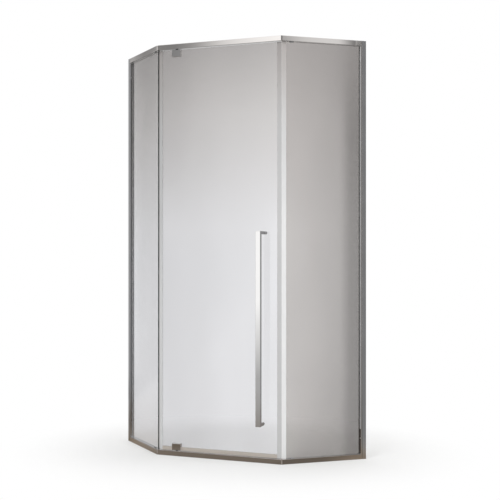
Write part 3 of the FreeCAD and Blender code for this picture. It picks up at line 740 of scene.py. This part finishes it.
def socket_screw(shape, low, high):
    """Flush screw with a hexagon socket that faces into the cabin."""
    size = high - low
    radius = size.z / 2
    length = size.x / DOOR_INWARD.x - 2 * radius
    crown = (low + high) / 2 + DOOR_INWARD * length / 2
    rim = SOCKET_RIM * radius
    profile = [(radius - rim, 0.0), (radius, -rim), (radius, rim - length), (radius - rim, -length)]
    recess = circle(SOCKET_REACH * radius, HEXAGON_SIDES)
    add_screw(shape, profile, recess, SOCKET_DEPTH * radius, facing(DOOR_INWARD, crown))


screw_set("jamb_cross_screws", "jamb_screws", "frame", pan_head_screw)
screw_set("clamp_socket_screws", "clamp_screws", "door", socket_screw)


# Stage: floor, ring and mat that only reflections see, light and camera
FLOOR_REACH = 14.0
FLOOR_GRAIN = 60.0
FLOOR_GRAIN_DETAIL = 3.0
FLOOR_COLOURS = (0.90, 0.90, 0.895, 1), (0.93, 0.93, 0.925, 1)
FLOOR_ROUGH = 0.9
FLOOR_GLOSS = 0.1
# Distances from the middle over which the floor fades to white
FADE_START = 0.42
FADE_END = 1.2
# Level of the world's light on the object
AMBIENT = 0.74
RING_RADIUS = 4.0
RING_HEIGHT = 4.5
RING_STEPS = 120
MAT_HEIGHT = 0.0005

# Grey of the ring at azimuths in degrees from +X, as cards round a studio give bright metal its lights
# and darks
RING_LEVEL = 1.3
RING_TONES = (
    (-180, 0.33), (-170, 0.28), (-160, 0.27), (-157.8, 0.47), (-154.5, 0.93), (-150.7, 1.18),
    (-147.5, 1.3), (-141, 0.42), (-113, 0.40), (-110, 0.22), (-92, 0.15), (-71, 0.14), (-67, 0.48),
    (-64.8, 0.78), (-62.5, 0.88), (-60.4, 0.86), (-59.95, 0.23), (20, 0.40), (60, 0.34), (69, 0.85),
    (71.5, 0.85), (75.5, 0.45), (84, 0.85), (92, 0.85), (104, 0.58), (112.3, 0.56), (113.2, 0.30),
    (116.4, 0.29), (117.3, 0.75), (117.42, 1.28), (157, 1.1), (166, 0.33),
)
# Light cards on the upper ring, with the heights over which they start: the sides of the upper clamp
# and the undersides of the upper rails mirror them
CARDS = (
    (((10, 0.0), (14, 1.25), (30, 1.25), (34, 0.0)), (2.2, 2.4)),
    (((48, 0.0), (54, 0.85), (68, 0.85), (74, 0.0)), (1.0, 1.15)),
)
# The ring fades towards its foot
RING_FOOT_TONE = 0.5
RING_FULL_HEIGHT = 0.7
# Glow of the mat, a painted reflection for the lowest rails, at shares of the ring's radius, darker
# towards the object
MAT_TONES = (
    (0.13, (0.25, 0.215, 0.18)), (0.17, (0.19, 0.155, 0.12)), (0.25, (0.26, 0.24, 0.22)),
    (0.375, (0.33, 0.31, 0.29)), (0.55, (0.41, 0.40, 0.39)), (0.82, (0.49, 0.49, 0.49)),
    (1.0, (0.5, 0.5, 0.5)),
)
# How much brighter or darker the mat is at azimuths in degrees, where the lowest rails see it
MAT_TURN_LEVEL = 1.5
MAT_TURNS = (
    (-180, 0.93), (-166, 0.82), (-100, 0.80), (-84, 0.63), (-64, 0.66), (-56, 0.95), (-48, 1.4),
    (0, 1.2), (100, 1.3), (141, 1.36), (150, 1.19), (167, 1.06), (179, 0.94),
)
# Distances over which the mat's own look gives way to the ring's
MAT_PLAIN_REACH = 0.8
MAT_RING_REACH = 1.4
# A ray that nothing has mirrored yet has a glossy depth under this
UNMIRRORED = 0.5
# Lamps: name, place, width in metres and power in watts
LAMP_AIM = (0, 0, 1.0)
LAMPS = (
    ("key", (-3.2, -3.4, 4.6), 2.6, 110),
    ("fill", (3.6, -3.0, 3.4), 3.0, 45),
)


def stage_thing(name, points, faces, material):
    """A piece of the stage."""
    mesh = bpy.data.meshes.new(name)
    mesh.from_pydata(points, [], faces)
    mesh.materials.append(material)
    thing = put_in_scene(name, mesh)
    return thing


def only_reflected(thing):
    """Keep a stage piece out of everything but reflections."""
    for ray in ("camera", "diffuse", "volume_scatter", "shadow"):
        setattr(thing, f"visible_{ray}", False)
    for material in thing.data.materials:
        material.cycles.emission_sampling = "NONE"


def pale_floor():
    """Floor that keeps the shadow near the object and fades to plain white further out."""
    recipe = Recipe("pale_floor")
    grains = recipe.noise(recipe.place(), FLOOR_GRAIN, FLOOR_GRAIN_DETAIL)
    recipe.set(Base_Color=recipe.blend(grains, *FLOOR_COLOURS),
               Roughness=FLOOR_ROUGH, Specular_IOR_Level=FLOOR_GLOSS)
    white = recipe.node("ShaderNodeEmission", {}, {"Strength": 1.0}).outputs["Emission"]
    fade = recipe.rise(recipe.distance(), FADE_START, FADE_END)
    recipe.show(recipe.either(fade, recipe.shader.outputs["BSDF"], white))
    reach = FLOOR_REACH
    corners = [(-reach, -reach, 0), (reach, -reach, 0), (reach, reach, 0), (-reach, reach, 0)]
    stage_thing("floor", corners, [(0, 1, 2, 3)], recipe.material)


def round_tone(recipe, tones, level):
    """Grey by azimuth about the cabin's middle, as a share of level."""
    place = recipe.place()
    azimuth = recipe.math("ARCTAN2", recipe.part(place, "Y"), recipe.part(place, "X"))
    turn = recipe.rise(azimuth, -math.pi, math.pi, smooth=False)
    stops = [((degrees + 180) / 360, grey(tone / level)) for degrees, tone in tones]
    return recipe.stops(turn, stops)


def ring_points(height):
    """Points of the ring at a height."""
    return [(x, y, height) for x, y in circle(RING_RADIUS, RING_STEPS)]


def glow(recipe, tone):
    """Light of its own, but clear to rays that have only passed through seals or panes."""
    emission = recipe.node("ShaderNodeEmission", {}, {
        "Color": tone, "Strength": RING_LEVEL}).outputs["Emission"]
    clear = recipe.node("ShaderNodeBsdfTransparent").outputs["BSDF"]
    mirrored = recipe.node("ShaderNodeLightPath").outputs["Glossy Depth"]
    recipe.show(recipe.either(recipe.math("LESS_THAN", mirrored, UNMIRRORED), emission, clear))


def reflected_ring():
    """Ring of grey and white cards round the object."""
    recipe = Recipe("reflected_ring")
    height = recipe.part(recipe.place(), "Z")
    foot = recipe.ramp(height, RING_FOOT_TONE / RING_LEVEL, 1.0, 0.0, RING_FULL_HEIGHT, smooth=False)
    tone = recipe.blend(1.0, round_tone(recipe, RING_TONES, RING_LEVEL), foot, "DARKEN")
    for card_tones, card_foot in CARDS:
        card = round_tone(recipe, card_tones, RING_LEVEL)
        tone = recipe.blend(recipe.rise(height, *card_foot), tone, card, "LIGHTEN")
    glow(recipe, tone)
    faces = [(n, (n + 1) % RING_STEPS, RING_STEPS + (n + 1) % RING_STEPS, RING_STEPS + n)
             for n in range(RING_STEPS)]
    points = ring_points(0.0) + ring_points(RING_HEIGHT)
    only_reflected(stage_thing("reflected_ring", points, faces, recipe.material))


def reflected_mat():
    """Glowing mat on the floor that only reflections see, a painted reflection, warmer near the object
    and dark where the ring is.
    """
    recipe = Recipe("reflected_mat")
    away = recipe.distance()
    share = recipe.rise(away, 0.0, RING_RADIUS, smooth=False)
    level = MAT_TURN_LEVEL / RING_LEVEL
    tone = recipe.stops(share, [(place, shade(colour, level)) for place, colour in MAT_TONES])
    turned = round_tone(recipe, MAT_TURNS, MAT_TURN_LEVEL)
    plain = recipe.blend(1.0, tone, grey(1 / MAT_TURN_LEVEL), "MULTIPLY")
    outer = recipe.rise(away, MAT_PLAIN_REACH, MAT_RING_REACH)
    inner = recipe.blend(outer, recipe.blend(1.0, tone, turned, "MULTIPLY"), plain)
    glow(recipe, recipe.blend(outer, inner, round_tone(recipe, RING_TONES, RING_LEVEL), "DARKEN"))
    faces = [tuple(range(RING_STEPS))]
    only_reflected(stage_thing("reflected_mat", ring_points(MAT_HEIGHT), faces, recipe.material))


def white_world():
    """White where it is seen, reflected or looked at through glass, and a plain soft level as light."""
    world = bpy.data.worlds.new("white_world")
    bpy.context.scene.world = world
    sky = Nodes(world)
    path = sky.node("ShaderNodeLightPath").outputs
    seen = path["Is Camera Ray"]
    for name in ("Is Glossy Ray", "Is Transmission Ray"):
        seen = sky.math("MAXIMUM", seen, path[name])
    light, white = [sky.node("ShaderNodeBackground", {}, {"Color": grey(1.0), "Strength": strength})
                    for strength in (AMBIENT, 1.0)]
    mixed = sky.either(seen, light.outputs["Background"], white.outputs["Background"])
    sky.node("ShaderNodeOutputWorld", {}, {"Surface": mixed})


def lamp(name, place, width, power):
    """Round area light that looks at the middle of the cabin."""
    light = bpy.data.lights.new(name, "AREA")
    light.shape = "DISK"
    light.size = width
    light.energy = power
    thing = put_in_scene(name, light)
    thing.location = place
    thing.rotation_euler = (Vector(LAMP_AIM) - Vector(place)).to_track_quat("-Z", "Y").to_euler()


pale_floor()
reflected_ring()
reflected_mat()
white_world()
for lamp_row in LAMPS:
    lamp(*lamp_row)

# Camera level at half the cabin's height, at the photograph's viewing angle. Its axis meets the image at
# PRINCIPAL_X, in pixels from the left of a square image
IMAGE_SIDE = 500
PRINCIPAL_X = 160
FOCAL_PIXELS = 1169.9
CAMERA_PLACE = (-2.382, -5.379, 1.0)
CAMERA_YAW = math.radians(19.89)
LEVEL = math.radians(90)
camera = bpy.data.cameras.new("camera")
camera.lens = FOCAL_PIXELS * camera.sensor_width / IMAGE_SIDE
camera.shift_x = (IMAGE_SIDE / 2 - PRINCIPAL_X) / IMAGE_SIDE
eye = put_in_scene("camera", camera)
eye.location = CAMERA_PLACE
eye.rotation_euler = (LEVEL, 0, -CAMERA_YAW)
bpy.context.scene.camera = eye
bpy.context.scene.view_settings.view_transform = "Standard"
